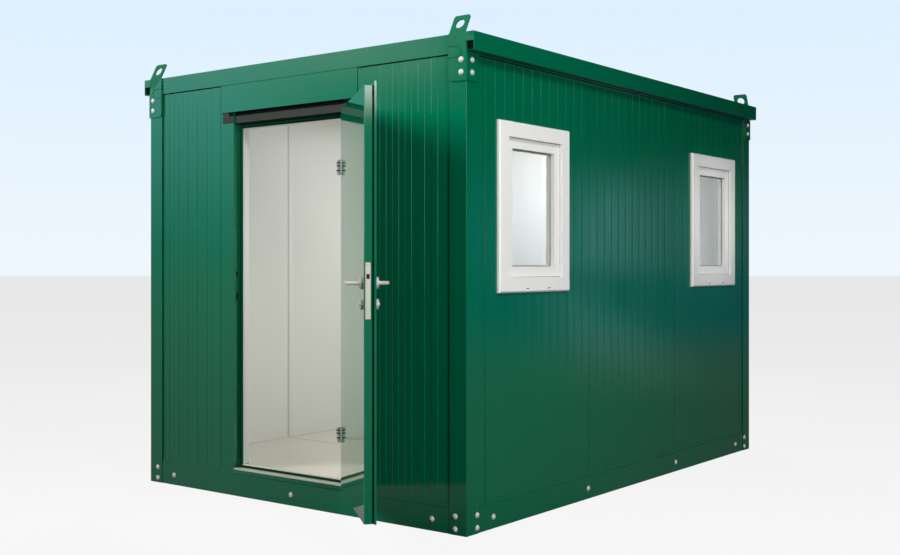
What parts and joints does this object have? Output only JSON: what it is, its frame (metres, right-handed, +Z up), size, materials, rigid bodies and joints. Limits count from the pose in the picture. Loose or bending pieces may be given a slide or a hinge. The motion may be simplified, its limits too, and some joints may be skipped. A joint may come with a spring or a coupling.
{
  "type": "portable site cabin",
  "caption": "Green panelled site cabin on a bolted steel frame, with an outward opening gable door, side windows, eaves gutters and lifting lugs.",
  "frame": {"origin": "centre of the steel frame's footprint on the ground, on the underside of the middle floor cross member", "axes": "+Z up, the gable with the door faces -Y, the long wall with the windows faces +X"},
  "size_m": [2.5, 4.045, 2.5401],
  "materials": {
    "frame_paint": "gloss green coat",
    "panel_paint": "gloss green coated sheet with fine grooves",
    "door_paint": "gloss green coat",
    "roof_steel": "zinc coated sheet",
    "steel_underframe": "dark primer",
    "inner_lining": "off white satin sheet",
    "floor_vinyl": "pale vinyl sheet",
    "window_plastic": "white plastic profile",
    "window_glass": "clear double glazing",
    "bare_metal": "satin",
    "hinge_steel": "zinc plated"
  },
  "bodies": {
    "cabin": {"front_base_beam": "frame_paint", "rear_base_beam": "frame_paint", "left_base_beam": "frame_paint", "right_base_beam": "frame_paint", "front_roof_beam": "frame_paint", "rear_roof_beam": "frame_paint", "left_eaves_beam": "frame_paint", "right_eaves_beam": "frame_paint", "left_eaves_gutter": "frame_paint", "right_eaves_gutter": "frame_paint", "front_left_post": "frame_paint", "front_right_post": "frame_paint", "rear_left_post": "frame_paint", "rear_right_post": "frame_paint", "front_left_lifting_bracket": "frame_paint", "front_right_lifting_bracket": "frame_paint", "rear_left_lifting_bracket": "frame_paint", "rear_right_lifting_bracket": "frame_paint", "door_head_panel": "frame_paint", "door_jamb_left": "frame_paint", "door_jamb_right": "frame_paint", "door_frame_head": "frame_paint", "sill_trims": "frame_paint", "left_wall_panel_front": "panel_paint", "left_wall_panel_middle": "panel_paint", "left_wall_panel_rear": "panel_paint", "right_wall_panel_front": "panel_paint", "right_wall_panel_middle": "panel_paint", "right_wall_panel_rear": "panel_paint", "rear_wall_panel_left": "panel_paint", "rear_wall_panel_right": "panel_paint", "front_wall_panel_left": "panel_paint", "front_wall_panel_right": "panel_paint", "window_frame_front": "window_plastic", "window_sash_front": "window_plastic", "window_frame_rear": "window_plastic", "window_sash_rear": "window_plastic", "window_glass_front": "window_glass", "window_glass_rear": "window_glass", "floor_cross_members": "steel_underframe", "floor_deck": "floor_vinyl", "ceiling_lining": "inner_lining", "roof_sheet": "roof_steel", "door_threshold": "bare_metal", "hinge_frame_halves": "hinge_steel"},
    "door": {"door_leaf": "door_paint", "lock_faceplate": "bare_metal", "handle_roses": "bare_metal", "hinge_leaf_halves": "hinge_steel"},
    "lever": {"lever_handle": "bare_metal"}
  },
  "joints": [
    {"name": "door_hinge", "type": "hinge", "parent": "cabin", "child": "door", "pos_m": [0.445, -1.71, 1.236], "axis": [0, 0, 1], "range_deg": [-139.9, 30.1]},
    {"name": "lever_turn", "type": "hinge", "parent": "door", "child": "lever", "pos_m": [1.086, -2.24978, 1.236], "axis": [-0.6441, -0.7649, 0], "range_deg": [0, 45], "stiffness_Nm_per_rad": 1.2, "springref_deg": -28.65}
  ]
}
